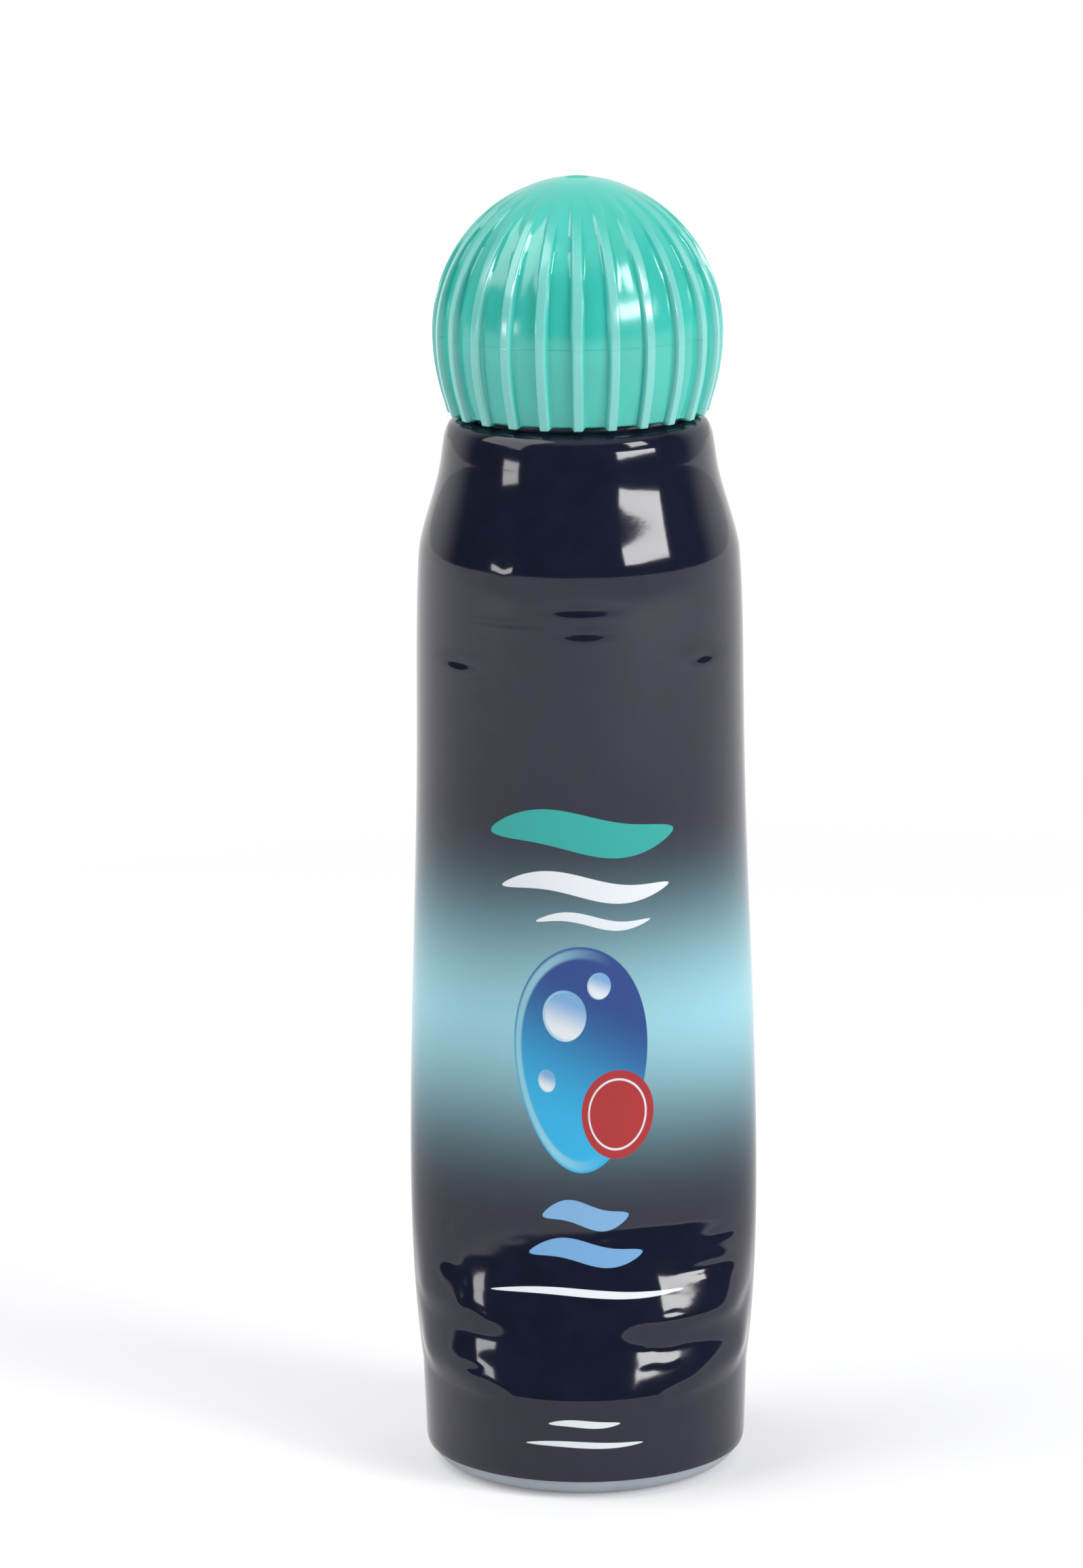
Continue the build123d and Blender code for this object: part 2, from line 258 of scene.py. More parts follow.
# Printed bubbles: place across and up, half width, half height, colours of top and foot
print_bubbles = (
    ((-0.2, 41.0), 7.4, 11.0, DEEP_BLUE, SKY_BLUE),
    ((-1.9, 45.3), 2.3, 2.5, LIGHT_BLUE, PRINT_WHITE),
    ((1.7, 48.2), 1.2, 1.3, LIGHT_BLUE, PRINT_WHITE),
    ((-4.2, 38.9), 1.0, 1.1, LIGHT_BLUE, PRINT_WHITE),
)

# Printed dot: its place, and the radius and colour of each disc in it
dot_place = (4.1, 35.6)
dot_discs = ((4.3, PRINT_RED), (3.5, PRINT_WHITE), (3.3, PRINT_RED))

# Printed ribbons: ends across, height, swing, width, colour
print_ribbons = (
    ((-8.6, 8.8), 62.6, 0.7, 3.6, PRINT_TEAL),
    ((-7.6, 8.4), 57.6, 0.7, 2.0, PRINT_WHITE),
    ((-4.4, 6.6), 54.4, 0.5, 1.0, PRINT_WHITE),
    ((-5.2, 5.6), 26.0, 0.5, 2.2, LIGHT_BLUE),
    ((-6.6, 6.9), 22.6, 0.5, 2.0, LIGHT_BLUE),
    ((-10.4, 10.6), 19.0, 0.25, 0.7, PRINT_WHITE),
    ((-3.4, 3.2), 7.4, 0.1, 0.7, PRINT_WHITE),
    ((-5.6, 5.4), 5.4, 0.1, 0.6, PRINT_WHITE),
)


# Mesh helpers

def ease(low, high, value):
    """A smooth step from 0 at low to 1 at high."""
    share = np.clip((value - low) / (high - low), 0, 1)
    return share * share * (3 - 2 * share)


def wander(points):
    """Smooth noise from about -1 to 1 at each of the points."""
    flat = points.reshape(-1, 3)
    return np.array([noise.noise(Vector(point)) for point in flat]).reshape(points.shape[:-1])


def curve_through(knots, values, places):
    """The one polynomial that passes through all the knots, at each of the places."""
    total = np.zeros_like(places)
    for i, value in enumerate(values):
        others = np.delete(knots, i)
        total += value * np.prod((places[:, None] - others) / (knots[i] - others), axis=1)
    return total


def add_piece(name, points, faces, material, body, node):
    """A closed mesh in millimetres that rides on a body and stands for a CAD node."""
    mesh = bpy.data.meshes.new(name)
    mesh.from_pydata((np.asarray(points) * mm).tolist(), [], faces)
    mesh.shade_smooth()
    mesh.set_sharp_from_angle(angle=radians(40))
    mesh.materials.append(material)
    piece = bpy.data.objects.new(name, mesh)
    bpy.context.scene.collection.objects.link(piece)
    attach(piece, body)
    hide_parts(node)
    return piece


def lathe_faces(row_count, column_count, closed=False):
    """Quads between neighbouring rows of a turned form; closed joins the last row to the first."""
    faces = []
    for row in range(row_count if closed else row_count - 1):
        low, high = row * column_count, (row + 1) % row_count * column_count
        for column in range(column_count):
            after = (column + 1) % column_count
            faces.append((low + column, low + after, high + after, high + column))
    return faces


def turned_piece(name, rows, material, body, node, poles=None):
    """Rows of points round the axis, joined in a ring or closed by a pole at each end."""
    row_count, column_count = rows.shape[:2]
    points = rows.reshape(-1, 3)
    faces = lathe_faces(row_count, column_count, closed=poles is None)
    if poles is not None:
        first, last = len(points), len(points) + 1
        points = np.vstack([points, [(0, 0, height) for height in poles]])
        end_row = (row_count - 1) * column_count
        for column in range(column_count):
            after = (column + 1) % column_count
            faces.append((first, after, column))
            faces.append((end_row + column, end_row + after, last))
    return add_piece(name, points, faces, material, body, node)


def round_rows(radii, heights, angles):
    """Points of circles: one row for each radius and height."""
    radii, heights = np.broadcast_arrays(radii, heights)
    if radii.ndim == 1:
        radii = np.repeat(radii[:, None], len(angles), axis=1)
        heights = np.repeat(heights[:, None], len(angles), axis=1)
    return np.stack([radii * np.cos(angles), radii * np.sin(angles), heights], axis=-1)


# Shader helpers

class Field:
    """A number that varies over a surface: a shader node's output, with arithmetic."""

    def __init__(self, tree, socket):
        self.tree = tree
        self.socket = socket

    def math(self, operation, *others):
        node = self.tree.nodes.new("ShaderNodeMath")
        node.operation = operation
        for socket, value in zip(node.inputs, (self, *others)):
            if isinstance(value, Field):
                self.tree.links.new(value.socket, socket)
            else:
                socket.default_value = value
        return Field(self.tree, node.outputs[0])

    def __add__(self, other):
        return self.math("ADD", other)

    def __sub__(self, other):
        return self.math("SUBTRACT", other)

    def __mul__(self, other):
        return self.math("MULTIPLY", other)

    def __pow__(self, other):
        return self.math("POWER", other)

    def abs(self):
        return self.math("ABSOLUTE")

    def sin(self):
        return self.math("SINE")

    def either(self, other):
        return self.math("MAXIMUM", other)

    def ramp(self, low, high):
        """0 up to low, 1 from high on and smooth between; falls where low is above high."""
        node = self.tree.nodes.new("ShaderNodeMapRange")
        node.interpolation_type = "SMOOTHSTEP"
        self.tree.links.new(self.socket, node.inputs["Value"])
        node.inputs["From Min"].default_value = low
        node.inputs["From Max"].default_value = high
        return Field(self.tree, node.outputs["Result"])

    def spread(self, low, high):
        """A number from 0 to 1 carried to the range from low to high."""
        return self * (high - low) + low


def new_material(name):
    """A node material; returns it with its tree and its shader."""
    material = bpy.data.materials.new(name)
    material.use_nodes = True
    return material, material.node_tree, material.node_tree.nodes["Principled BSDF"]


def surface_point(tree):
    """Place on the object in millimetres, as one vector socket and three fields."""
    place = tree.nodes.new("ShaderNodeTexCoord")
    scale = tree.nodes.new("ShaderNodeVectorMath")
    scale.operation = "SCALE"
    scale.inputs["Scale"].default_value = 1 / mm
    tree.links.new(place.outputs["Object"], scale.inputs[0])
    split = tree.nodes.new("ShaderNodeSeparateXYZ")
    tree.links.new(scale.outputs[0], split.inputs[0])
    return scale.outputs[0], [Field(tree, socket) for socket in split.outputs]


def grain(tree, point, size, detail=2.0):
    """Noise from 0 to 1 with features of about that size in millimetres."""
    node = tree.nodes.new("ShaderNodeTexNoise")
    node.inputs["Scale"].default_value = 1 / size
    node.inputs["Detail"].default_value = detail
    tree.links.new(point, node.inputs["Vector"])
    return Field(tree, node.outputs["Fac"])


def cells(tree, point, size):
    """Distance to the nearest of the scattered cell centres, in cells of that size."""
    node = tree.nodes.new("ShaderNodeTexVoronoi")
    node.inputs["Scale"].default_value = 1 / size
    tree.links.new(point, node.inputs["Vector"])
    return Field(tree, node.outputs["Distance"])


def paint(tree, below, colour, share):
    """The colour laid over the one below where share is 1."""
    node = tree.nodes.new("ShaderNodeMix")
    node.data_type = "RGBA"
    node.clamp_factor = True
    tree.links.new(share.socket, node.inputs[0])
    for value, socket in ((below, node.inputs[6]), (colour, node.inputs[7])):
        if isinstance(value, tuple):
            socket.default_value = value
        else:
            tree.links.new(value, socket)
    return node.outputs[2]


def emboss(tree, shader, height, depth):
    """Bump of that depth in millimetres from a height of 0 to 1."""
    node = tree.nodes.new("ShaderNodeBump")
    node.inputs["Distance"].default_value = depth * mm
    tree.links.new(height.socket, node.inputs["Height"])
    tree.links.new(node.outputs["Normal"], shader.inputs["Normal"])


def shade(colour, factor):
    """A darker or lighter version of a colour."""
    return tuple(min(1.0, part * factor) for part in colour[:3]) + (1.0,)


# Materials

def moulded_plastic(name, colour, roughness, peel, mottle=0.06, soft=0.0):
    """Moulded plastic: faint mottling, uneven gloss and the fine texture of its mould."""
    material, tree, shader = new_material(name)
    point, _ = surface_point(tree)
    blotch = grain(tree, point, 4.0, 3.0)
    tint = paint(tree, shade(colour, 1 - mottle), shade(colour, 1 + mottle), blotch.ramp(0.3, 0.7))
    tree.links.new(tint, shader.inputs["Base Color"])
    gloss = grain(tree, point, 1.3, 4.0).spread(roughness - 0.06, roughness + 0.06)
    tree.links.new(gloss.socket, shader.inputs["Roughness"])
    emboss(tree, shader, grain(tree, point, 0.35, 3.0), peel)
    if soft:
        shader.inputs["Subsurface Weight"].default_value = soft
        shader.inputs["Subsurface Radius"].default_value = (1.0, 1.0, 1.0)
        shader.inputs["Subsurface Scale"].default_value = 0.6 * mm
    return material


def cap_plastic():
    """Glossy teal plastic with a painted highlight along the rib crests, a parting line, faint flow
    marks and hairline scuffs.
    """
    material, tree, shader = new_material("cap_teal_plastic")
    point, (right, back, height) = surface_point(tree)
    flow = grain(tree, point, 5.0, 3.0)
    tint = paint(tree, shade(CAP_TEAL, 0.95), shade(CAP_TEAL, 1.05), flow.ramp(0.3, 0.7))
    rise = ((height - ball_height) * (ball_radius / (cap_top - ball_height))).either(0.0)
    drop = ((height * -1.0 + ball_height) * (1 / (ball_height - rim_height))).either(0.0)
    reach = (right * right + back * back + rise * rise) ** 0.5
    proud = reach + drop * drop * (ball_radius - rim_radius) - ball_radius
    # Rib crests painted paler teal: a painted highlight along the ribs
    tint = paint(tree, tint, RIB_HIGHLIGHT_TEAL, proud.ramp(0.12, 0.5) * (flow * 0.2 + 0.7))
    tree.links.new(tint, shader.inputs["Base Color"])
    scuffs = grain(tree, point, 0.5, 5.0).ramp(0.62, 0.8)
    gloss = grain(tree, point, 2.0, 3.0).spread(0.14, 0.2) + scuffs * 0.1
    tree.links.new(gloss.socket, shader.inputs["Roughness"])
    parting = (height - ball_height).abs().ramp(0.12, 0.02)
    peel = grain(tree, point, 0.5, 3.0)
    emboss(tree, shader, parting * 0.4 + peel * 0.2, 0.02)
    shader.inputs["Specular IOR Level"].default_value = 0.75
    return material


def bubble(tree, below, across, height, place, half_width, half_height, deep, pale):
    """A shaded oval bubble printed at a place: deep top, pale foot and a light edge."""
    off_across = (across - place[0]) * (1 / half_width)
    off_height = (height - place[1]) * (1 / half_height)
    reach = (off_across * off_across + off_height * off_height) ** 0.5
    inside = reach.ramp(1 + 0.06 / half_width, 1 - 0.06 / half_width)
    fill = paint(tree, pale, deep, (off_height + off_across * 0.35).ramp(-0.75, 0.7))
    edge = (reach - 0.94).abs().ramp(0.06, 0.02) * off_across.ramp(0.5, -0.6)
    fill = paint(tree, fill, PALE_CYAN, edge * 0.85)
    return paint(tree, below, fill, inside)


def disc(tree, below, across, height, place, radius, colour):
    """A plain round dot printed at a place."""
    off_across, off_height = across - place[0], height - place[1]
    reach = (off_across * off_across + off_height * off_height) ** 0.5
    return paint(tree, below, colour, reach.ramp(radius + 0.06, radius - 0.06))


def ribbon(tree, below, across, height, ends, middle, swing, width, colour):
    """A waving ribbon, widest at its middle and drawn out to a point at each end."""
    first, last = ends
    share = (across - first) * (1 / (last - first))
    taper = (share * (share * -1.0 + 1.0) * 4.0).either(0.0) ** 0.6
    line = (share * (2 * pi)).sin() * swing + middle
    inside = ((height - line).abs() - taper * (width / 2)).ramp(0.04, -0.04)
    return paint(tree, below, colour, inside * taper.ramp(0.0, 0.12))


def sleeve_print():
    """Glossy film: navy with a pale band, and bubbles, a dot and ribbons on its front and back."""
    material, tree, shader = new_material("printed_film")
    point, (right, back, height) = surface_point(tree)
    turn = right.math("ARCTAN2", back * -1.0)
    half_round = pi * print_radius
    across = (turn * print_radius).math("WRAP", half_round / 2, -half_round / 2)

    speckle = grain(tree, point, 0.22, 2.0)
    fall = height.ramp(print_band_top, print_band_fall)
    rise = height.ramp(print_band_foot, print_band_risen)
    band = (fall * rise) ** print_band_power
    mottle = grain(tree, point, 2.4, 3.0).ramp(0.3, 0.7)
    ink = paint(tree, shade(NAVY, 0.9), shade(NAVY, 1.1), mottle)
    colour = paint(tree, ink, PALE_CYAN, band + (speckle - 0.5) * band * 0.08)

    for place, half_width, half_height, deep, pale in print_bubbles:
        colour = bubble(tree, colour, across, height, place, half_width, half_height, deep, pale)
    for radius, tint in dot_discs:
        colour = disc(tree, colour, across, height, dot_place, radius, tint)
    for ends, middle, swing, width, tint in print_ribbons:
        colour = ribbon(tree, colour, across, height, ends, middle, swing, width, tint)
    tree.links.new(colour, shader.inputs["Base Color"])

    gloss = grain(tree, point, 3.0, 4.0).spread(0.05, 0.11)
    tree.links.new(gloss.socket, shader.inputs["Roughness"])
    shader.inputs["Specular IOR Level"].default_value = 0.42
    emboss(tree, shader, grain(tree, point, 0.9, 2.0), 0.003)
    return material


def spring_steel():
    """Drawn stainless wire with fine lines along it."""
    material, tree, shader = new_material("drawn_steel")
    point, _ = surface_point(tree)
    lines = grain(tree, point, 0.12, 3.0)
    tint = paint(tree, shade(STEEL, 0.8), STEEL, lines.ramp(0.3, 0.7))
    tree.links.new(tint, shader.inputs["Base Color"])
    tree.links.new(lines.spread(0.2, 0.38).socket, shader.inputs["Roughness"])
    shader.inputs["Metallic"].default_value = 1.0
    emboss(tree, shader, lines, 0.006)
    return material


def pad_sponge():
    """Open-cell foam: pores of two sizes sunk into a cream body, with painted shade in the pores.
    """
    material, tree, shader = new_material("cream_foam")
    point, _ = surface_point(tree)
    pores = cells(tree, point, 0.5).ramp(0.25, 0.6)
    large_pores = cells(tree, point, 1.1).ramp(0.15, 0.5)
    open_cells = pores * large_pores
    # Pores painted at half the cream's brightness: painted shade in the pores
    tint = paint(tree, shade(FOAM_CREAM, 0.5), FOAM_CREAM, open_cells)
    tree.links.new(tint, shader.inputs["Base Color"])
    shader.inputs["Roughness"].default_value = 0.95
    emboss(tree, shader, open_cells, 0.2)
    return material


def knitted_nylon():
    """Fine knit: rows of loops round the dome, with painted shade between the loops and a soft
    sheen.
    """
    material, tree, shader = new_material("white_knit")
    point, (right, back, height) = surface_point(tree)
    turn = right.math("ARCTAN2", back)
    loops = (turn * 96.0).sin()
    reach = (right * right + back * back) ** 0.5
    courses = ((reach - height * 1.4) * 9.0 + loops.abs() * 1.6).sin()
    knit = (courses * loops.abs()).spread(0.5, 1.0)
    lint = grain(tree, point, 0.4, 4.0)
    # Gaps between the loops painted darker: painted shade in the knit; lint varies the tone at
    # random
    tint = paint(tree, shade(CLOTH_WHITE, 0.72), CLOTH_WHITE, knit * 0.7 + lint * 0.3)
    tree.links.new(tint, shader.inputs["Base Color"])
    shader.inputs["Roughness"].default_value = 0.85
    shader.inputs["Sheen Weight"].default_value = 0.3
    emboss(tree, shader, knit, 0.06)
    return material


def pale_floor():
    """Pale studio floor, its colour painted darker away from the object as a falloff of light, and
    lit up to white where it is seen, mirrored or seen through.
    """
    material, tree, shader = new_material("pale_floor")
    point, (right, back, _) = surface_point(tree)
    near = ((right * right + back * back) ** 0.5).ramp(floor_reach, floor_bright)
    tint = paint(tree, shade(FLOOR_WHITE, 0.985), FLOOR_WHITE, grain(tree, point, 60.0))
    # Painted falloff of light: the floor's colour darkens to a fifth away from the object
    tint = paint(tree, shade(FLOOR_WHITE, 0.2), tint, near)
    tree.links.new(tint, shader.inputs["Base Color"])
    shader.inputs["Roughness"].default_value = 0.9
    shader.inputs["Specular IOR Level"].default_value = 0.1
    path = tree.nodes.new("ShaderNodeLightPath")
    seen, mirrored, through = (Field(tree, path.outputs[f"Is {kind} Ray"])
                               for kind in ("Camera", "Glossy", "Transmission"))
    far = near * -1.0 + 1.0
    glow = (far**0.5 * far_glow + floor_glow) * (seen + mirrored + through)
    tree.links.new(glow.socket, shader.inputs["Emission Strength"])
    shader.inputs["Emission Color"].default_value = (1, 1, 1, 1)
    return material


# Pieces

def sleeve_profile(grow):
    """Side radius, face radius and height of each row of the body, moved outwards by grow."""
    heel_start = asin((sleeve_foot_height - heel_fillet) / (heel_fillet + grow))
    heel = np.linspace(heel_start, 0, 9)
    heel_radius = stand_radius + (heel_fillet + grow) * np.cos(heel)
    heel_height = heel_fillet + (heel_fillet + grow) * np.sin(heel)

    foot_height = np.concatenate([np.linspace(3.2, 9.2, 11), [9.4, 9.52]])
    foot_share = (foot_height - heel_fillet) / (grip_foot_height - heel_fillet)
    foot_radius = stand_radius + heel_fillet
    band_radius = foot_radius + (body_stations[0, 1] - foot_radius) * foot_share + grow

    body_height = np.concatenate([
        np.arange(grip_foot_height, grip_rows_top, grip_rows_step),
        np.arange(grip_rows_top, wide_rows_top, wide_rows_step),
        np.arange(wide_rows_top, crease_height, upper_rows_step),
    ])
    side = curve_through(body_stations[:, 0], body_stations[:, 1], body_height) + grow
    face = curve_through(body_stations[:, 0], body_stations[:, 2], body_height) + grow

    shoulder_rise = collar_foot_height - crease_height
    share = np.linspace(0, 1, 40)
    fall = 2 * share**3 - 3 * share**2 + 1
    lean = share**3 - 2 * share**2 + share
    shoulder_radius = collar_radius + (body_stations[-1, 1] - collar_radius) * fall
    shoulder_radius += crease_lean * shoulder_rise * lean + grow
    shoulder_height = crease_height + shoulder_rise * share

    corner = np.linspace(0, pi / 2, 12)
    corner_radius = collar_radius - collar_fillet + (collar_fillet + grow) * np.cos(corner)
    corner_height = ledge_height - collar_fillet + (collar_fillet + grow) * np.sin(corner)

    round_radius = np.concatenate([shoulder_radius, corner_radius, [sleeve_mouth_radius]])
    round_height = np.concatenate([shoulder_height, corner_height, [ledge_height + grow]])
    sides = np.concatenate([heel_radius, band_radius, side, round_radius])
    faces = np.concatenate([heel_radius, band_radius, face, round_radius])
    heights = np.concatenate([heel_height, foot_height, body_height, round_height])
    return sides, faces, heights


def film_relief(angles, heights):
    """How far the film stands out from the body at each height and angle, in millimetres."""
    turn, level = np.meshgrid(angles, heights)
    ring = np.stack([np.cos(turn), np.sin(turn), level * 0.0], axis=-1)
    up = np.array([0.0, 0.0, 1.0])
    face_turn = turn % pi - pi / 2
    off_face = np.abs(face_turn)
    across = face_turn * print_radius

    def waves(round_rate, rise_rate, shift):
        """Noise by its rates round the body and up it; the shift sets it apart from the others."""
        return wander(ring * round_rate + up * (level[..., None] * rise_rate + shift))

    lean = fold_sway * waves(2.2, 0.02, 5.0)
    fold_share = ease(*fold_start, face_turn) * ease(*fold_finish, face_turn)
    fold_share = fold_least_share + (1 - fold_least_share) * fold_share
    fold_share *= ease(*fold_edge, off_face)
    fold = ease(fold_foot, fold_height, level + lean)
    fold *= np.clip((fold_top - level - lean) / (fold_top - fold_height), 0, 1)
    relief = fold_depth * fold_share * fold

    for roll_height, below, above, depth, front in film_rolls:
        crest = roll_height + roll_curl * face_turn**2 + 0.5 * lean
        roll = front + (1 - front) * ease(*roll_start, off_face)
        roll *= ease(*roll_edge, off_face)
        roll *= ease(crest - below, crest, level) * ease(crest + above, crest, level)
        relief += depth * roll

    phase = 2 * pi * level / wrinkle_pitch
    phase += 3.0 * waves(3.0, 0.1, 0.0)
    phase += 1.6 * waves(9.0, 0.3, 31.0)
    patch = ease(-0.1, 0.4, waves(3.2, 0.13, 7.0)) * ease(*wrinkle_edge, off_face)
    patch *= ease(grip_foot_height + 0.6, grip_foot_height + 3.0, level)
    patch *= ease(wrinkle_top, wrinkle_top - 5.0, level)
    relief += wrinkle_depth * patch * np.sin(phase + 0.5 * np.sin(phase))

    for mark_across, mark_height, half_length, half_height, depth in film_marks:
        along, rise = (across - mark_across) / half_length, (level - mark_height) / half_height
        relief -= depth * np.exp(-along**2 - rise**2)

    body = ease(body_wave_foot, body_wave_full, level) * ease(slack_top, slack_top - 10.0, level)
    relief += body_wave_depth * body * waves(1.7, 0.08, 53.0)
    shoulder = ease(crease_height, crease_height + 2.0, level)
    shoulder *= ease(slack_end, slack_end - 3.0, level)
    relief += shoulder_wave_depth * shoulder * waves(7.0, 0.5, 71.0)

    back_arc = np.abs((turn - pi / 2 + pi) % (2 * pi) - pi) * print_radius
    relief += seam_lap * ease(seam_half_width + 0.1, seam_half_width - 0.1, back_arc)
    relief *= ease(sleeve_foot_height, slack_foot, level) * ease(slack_end, slack_top, level)

    above_swell = np.clip((level - swell_height) / (swell_top - swell_height), 0, 1)
    return relief + swell_depth * ease(swell_foot, swell_height, level) * (1 - above_swell**2)


def shrink_sleeve():
    """Printed film over the whole body, from the heel to the ledge under the cap."""
    angles = np.linspace(0, 2 * pi, 320, endpoint=False)

    def rows(grow, relief=True, step=1):
        side, face, height = (values[::step] for values in sleeve_profile(grow))
        out = film_relief(angles, height) if relief else 0.0
        across = (side[:, None] + out) * np.cos(angles)
        deep = (face[:, None] + out) * np.sin(angles)
        return np.stack([across, deep, np.repeat(height[:, None], len(angles), axis=1)], axis=-1)

    outside = rows(film_gap + film)
    inside = rows(film_gap, relief=False, step=6)[::-1]
    shell = np.concatenate([outside, inside])
    turned_piece("sleeve_film", shell, sleeve_print(), "bottle", "shrink_sleeve")


def rib_share(angles, radii):
    """1 on a rib, 0 in a valley and filleted between, for each radius and angle."""
    pitch = 2 * pi / rib_count
    off_rib = np.abs((angles + pitch / 2) % pitch - pitch / 2)
    return ease(rib_foot, rib_flat, off_rib[None, :] * radii[:, None])


def thread_share(angles, heights):
    """1 on the crest of the cap's thread and 0 at its root, for each height and angle."""
    share = np.zeros((len(heights), len(angles)))
    first_turn = (angles / (2 * pi) - thread_start_turn) % 1
    flank = (thread_root_width - thread_crest_width) / 2
    for whole_turn in range(2):
        turn = first_turn + whole_turn
        centre = thread_start + thread_lead * turn
        ridge = np.clip((thread_root_width / 2 - np.abs(heights[:, None] - centre)) / flank, 0, 1)
        ends = ease(0.0, 0.04, turn) * ease(thread_turns, thread_turns - 0.04, turn)
        share = np.maximum(share, ridge * ends)
    return share


def cap_angles():
    """Angles of the cap's columns, closest together on the flanks of its ribs."""
    half_pitch = pi / rib_count
    share = np.array([0, 0.12, 0.18, 0.22, 0.26, 0.3, 0.34, 0.39, 0.5, 0.72, 1])
    share = np.concatenate([share, 2 - share[-2:0:-1]])
    return half_pitch * (2 * np.arange(rib_count)[:, None] + share).ravel()


def cap_inside(angles):
    """Rows of the cap's domed hollow, shelf and threaded bore, from the top down."""
    hollow = np.linspace(radians(86), 0, 16)
    hollow_height = shelf_height + (hollow_top - shelf_height) * np.sin(hollow)
    hollow_rows = round_rows(hollow_radius * np.cos(hollow), hollow_height, angles)
    shelf_radius = np.array([hollow_radius + 0.1, cap_bore_radius - 0.1])
    shelf_rows = round_rows(shelf_radius, shelf_height, angles)
    bore_height = np.linspace(shelf_height, rim_height + edge_round, 64)
    bore_radius = cap_bore_radius - thread_height * thread_share(angles, bore_height)
    bore_rows = round_rows(bore_radius, bore_height[:, None], angles)
    return np.concatenate([hollow_rows, shelf_rows, bore_rows])


def cap_rim(angles):
    """Rows of the cap's lower edge, with the ends of the ribs hanging below it."""
    bore_edge = cap_bore_radius + edge_round * np.array([0.3, 1.0])
    radius = np.concatenate([bore_edge, np.linspace(rib_end_radius, rib_drop_radius, 3)])
    lift = np.array([edge_round * 0.3, 0, 0, 0, 0])
    hang = ease(rib_end_radius, rib_drop_radius, radius)
    drop = rib_drop * rib_share(angles, radius) * hang[:, None]
    return round_rows(radius[:, None], rim_height + lift[:, None] - drop, angles)


def cap_side(angles):
    """Rows of the cap's ribbed side, from its lower edge up to its widest height."""
    side_rise, swell = ball_height - rim_height, ball_radius - rim_radius
    rise = np.concatenate([[0.0, 0.0, 0.06, 0.2], np.linspace(0.45, side_rise, 26)])
    inset = np.concatenate([[0.2, 0.06, 0.0, 0.0], np.zeros(26)])
    sweep = (swell**2 + side_rise**2) / (2 * swell)
    radius = ball_radius - sweep + np.sqrt(sweep**2 - (side_rise - rise) ** 2)
    rib = rib_share(angles, radius)
    foot = 1 - ease(0.0, 1.2, rise)
    side_radius = (radius - inset)[:, None] + rib_height * rib
    side_height = (rim_height + rise)[:, None] - rib_drop * rib * foot[:, None]
    return round_rows(side_radius, side_height, angles)


def cap_crown(angles):
    """Rows of the cap's crown: ribs that run out towards its top, and the mould's gate mark."""
    crown_rise = cap_top - ball_height
    crown = np.concatenate([
        np.linspace(0, radians(80), 54)[1:],
        np.arccos(np.linspace(2.0, 0.1, 20) / ball_radius),
    ])
    base_radius, base_height = ball_radius * np.cos(crown), ball_height + crown_rise * np.sin(crown)
    normal = np.stack([np.cos(crown) / ball_radius, np.sin(crown) / crown_rise])
    normal /= np.linalg.norm(normal, axis=0)

    rib_radius = ball_radius + rib_height
    rib_rise = crown_rise * sqrt(1 - (rib_start_radius / ball_radius) ** 2)
    rib_rise /= sqrt(1 - (rib_start_radius / rib_radius) ** 2)
    proud = rib_height * np.cos(crown) * normal[0]
    proud += (rib_rise - crown_rise) * np.sin(crown) * normal[1]
    stand_out = np.maximum(proud, 0)[:, None] * rib_share(angles, base_radius)

    dimple = gate_depth * ease(gate_radius + 0.1, gate_radius - 0.3, base_radius)
    dimple -= gate_nub_share * gate_depth * ease(0.45, 0.2, base_radius)
    crown_radius = base_radius[:, None] + normal[0][:, None] * stand_out
    crown_height = (base_height - dimple)[:, None] + normal[1][:, None] * stand_out
    return round_rows(crown_radius, crown_height, angles)


def ribbed_cap():
    """Ball-shaped screw cap: hollow, shelf, threaded bore, rim, ribs and a gate mark on top."""
    angles = cap_angles()
    shell = np.concatenate([rows(angles) for rows in (cap_inside, cap_rim, cap_side, cap_crown)])
    gate_middle = cap_top - (1 - gate_nub_share) * gate_depth
    turned_piece("cap_shell", shell, cap_plastic(), "cap", "cap",
                 poles=(hollow_top, gate_middle))


def dome(radius, low, side_top, top, rows, columns):
    """Rows of a block with a straight side and an elliptical crown, from its foot up."""
    angles = np.linspace(0, 2 * pi, columns, endpoint=False)
    sweep = np.linspace(0, radians(87), rows)
    radii = np.concatenate([[radius, radius], radius * np.cos(sweep)])
    crown = side_top + (top - side_top) * np.sin(sweep)
    heights = np.concatenate([[low, (low + side_top) / 2], crown])
    return round_rows(radii, heights, angles)


def foam_block():
    """Crowned foam pad with an uneven, pored skin."""
    rows = dome(pad_radius, pad_low, pad_side_top, pad_top, 40, 120)
    dents = foam_dent * np.clip(wander(rows * 1.1) + 0.2, 0, 1)
    rows[..., :2] *= 1 - (dents / pad_radius)[..., None]
    rows[2:, :, 2] -= dents[2:]
    pad = turned_piece("pad_sponge", rows, pad_sponge(), "applicator", "foam_pad",
                       poles=(pad_low, pad_top))


def knitted_cover():
    """Knitted skin stretched over the foam, with its courses raised and its hem under the ring."""
    outside = dome(cover_radius, cover_low, pad_side_top, cover_top, 60, 240)
    loops = np.abs(np.sin(48 * np.arctan2(outside[..., 1], outside[..., 0])))
    courses = 0.5 + 0.5 * np.cos(np.arange(len(outside)) * pi / 2)[:, None]
    outside[2:, :, 2] -= knit_depth * (courses * loops)[2:]
    inside_radius, inside_top = cover_radius - cover_cloth, cover_top - cover_cloth
    inside = dome(inside_radius, cover_low, pad_side_top, inside_top, 30, 240)
    rows = np.concatenate([inside[::-1], outside])
    cover = turned_piece("pad_knit", rows, knitted_nylon(), "applicator", "pad_cover",
                         poles=(inside_top, cover_top))


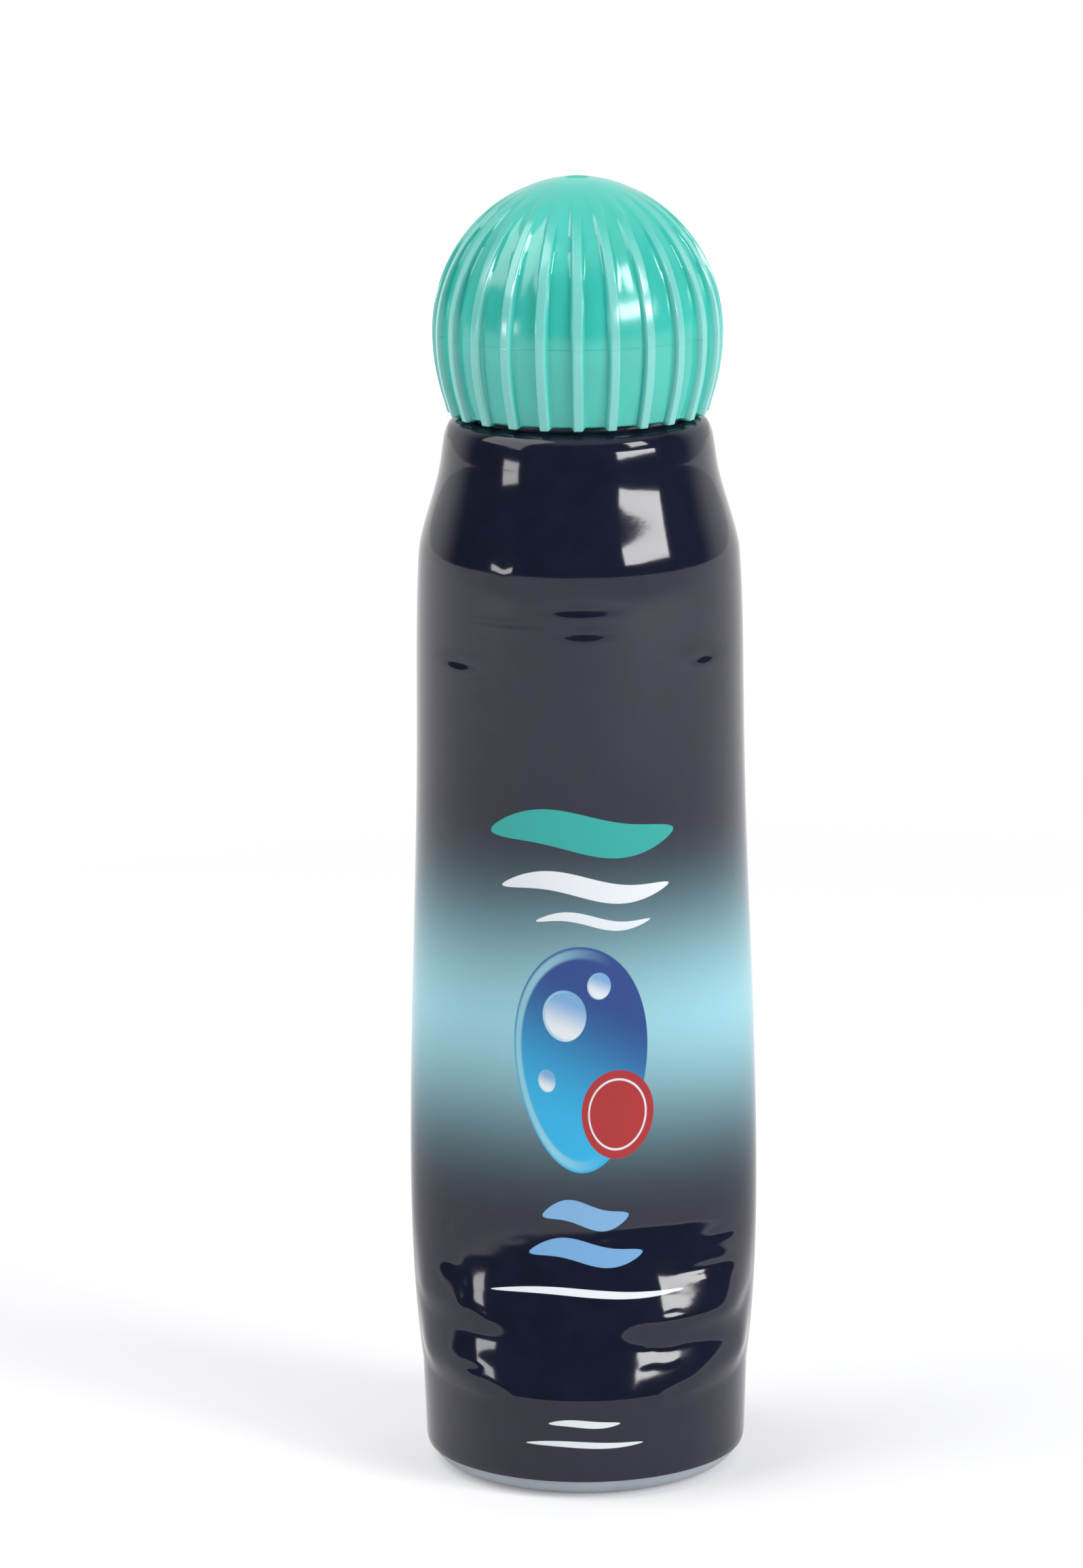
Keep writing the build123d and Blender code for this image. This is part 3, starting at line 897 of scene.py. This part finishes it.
def coil_spring():
    """Wire wound round the stem at an even pitch."""
    steps, sides = spring_turns * 48, 12
    turn = np.linspace(0, spring_turns, steps + 1)
    low = spring_foot + spring_wire / 2 + spring_seat_gap
    high = spring_head - spring_wire / 2 - spring_seat_gap
    level = low + (high - low) * turn / spring_turns
    angle = 2 * pi * turn
    outward = np.stack([np.cos(angle), np.sin(angle), angle * 0], axis=-1)
    centre = outward * spring_radius + np.stack([angle * 0, angle * 0, level], axis=-1)
    rise = (high - low) / spring_turns / (2 * pi)
    along = spring_radius * np.stack([-np.sin(angle), np.cos(angle), angle * 0], axis=-1)
    along[:, 2] = rise
    along /= np.linalg.norm(along, axis=1)[:, None]
    upward = np.cross(outward, along)
    around = np.linspace(0, 2 * pi, sides, endpoint=False)
    rings = (centre[:, None]
             + spring_wire / 2 * np.cos(around)[None, :, None] * outward[:, None]
             + spring_wire / 2 * np.sin(around)[None, :, None] * upward[:, None])
    faces = [tuple(reversed(face)) for face in lathe_faces(steps + 1, sides)]
    faces.append(tuple(range(sides)))
    faces.append(tuple(reversed(range(steps * sides, (steps + 1) * sides))))
    spring = add_piece("spring_coil", rings.reshape(-1, 3), faces, spring_steel(),
                       "bottle", "valve_spring")
    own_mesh(spring)


def finish_cad_nodes():
    """Better materials on the CAD pieces that stay."""
    white = moulded_plastic("natural_plastic", NATURAL_WHITE, 0.38, 0.006, soft=0.15)
    carrier = moulded_plastic("carrier_plastic", CARRIER_WHITE, 0.34, 0.005, soft=0.1)
    finishes = {
        "bottle": moulded_plastic("bottle_satin", BOTTLE_GREY, 0.4, 0.01, soft=0.1),
        "valve_plug": white,
        "cover_ring": white,
        "pad_carrier": carrier,
        "seal_retainer": carrier,
        "valve_seal": moulded_plastic("soft_rubber", RUBBER_BLACK, 0.62, 0.012, mottle=0.15),
        "cap_seal": moulded_plastic("gasket_foam", GASKET_WHITE, 0.7, 0.02),
    }
    for name, material in finishes.items():
        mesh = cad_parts[name].data
        mesh.materials.clear()
        mesh.materials.append(material)


# Stage

def studio_floor():
    """Wide pale floor under the object."""
    half = floor_half * mm
    corners = [(-half, -half, 0), (half, -half, 0), (half, half, 0), (-half, half, 0)]
    mesh = bpy.data.meshes.new("studio_floor")
    mesh.from_pydata(corners, [], [(0, 1, 2, 3)])
    mesh.materials.append(pale_floor())
    floor = bpy.data.objects.new("studio_floor", mesh)
    bpy.context.scene.collection.objects.link(floor)


def softbox(name, azimuth, elevation, width, height, power):
    """A flat lamp aimed at the middle of the object; azimuth 0 is the camera's side."""
    lamp = bpy.data.lights.new(name, "AREA")
    lamp.shape = "RECTANGLE"
    lamp.size = width
    lamp.size_y = height
    lamp.energy = power
    box = bpy.data.objects.new(name, lamp)
    turn, tilt = radians(azimuth), radians(elevation)
    toward = Vector((sin(turn) * cos(tilt), -cos(turn) * cos(tilt), sin(tilt)))
    box.location = Vector(lamp_aim) + toward * lamp_distance
    box.rotation_euler = toward.to_track_quat("Z", "Y").to_euler()
    bpy.context.scene.collection.objects.link(box)


def studio_light():
    """Soft light from above, a bright backdrop, and softboxes at both sides of the camera."""
    world = bpy.data.worlds.new("studio")
    world.use_nodes = True
    tree = world.node_tree
    place = tree.nodes.new("ShaderNodeTexCoord")
    split = tree.nodes.new("ShaderNodeSeparateXYZ")
    tree.links.new(place.outputs["Generated"], split.inputs[0])
    light = Field(tree, split.outputs["Z"]).ramp(0.6, 0.85).spread(low_sky, high_sky)
    light = light.either(Field(tree, split.outputs["Y"]).ramp(0.1, 0.6) * back_sky)
    tree.links.new(light.socket, tree.nodes["Background"].inputs["Strength"])
    tree.nodes["Background"].inputs["Color"].default_value = (1, 1, 1, 1)
    bpy.context.scene.world = world
    for lamp in softboxes:
        softbox(*lamp)


def photo_camera():
    """Camera at the photograph's angle."""
    camera = bpy.data.cameras.new("camera")
    camera.lens = camera_lens
    camera.sensor_width = 36.0
    camera.clip_start = 0.01
    view = bpy.data.objects.new("camera", camera)
    place = Matrix.Translation(camera_place)
    yaw = Matrix.Rotation(radians(camera_yaw), 4, "Z")
    pitch = Matrix.Rotation(radians(90 - camera_dip), 4, "X")
    roll = Matrix.Rotation(radians(camera_roll), 4, "Z")
    view.matrix_world = place @ yaw @ pitch @ roll
    bpy.context.scene.collection.objects.link(view)
    bpy.context.scene.camera = view


shrink_sleeve()
ribbed_cap()
foam_block()
knitted_cover()
coil_spring()
finish_cad_nodes()
studio_floor()
studio_light()
photo_camera()
bpy.context.scene.view_settings.view_transform = "Standard"
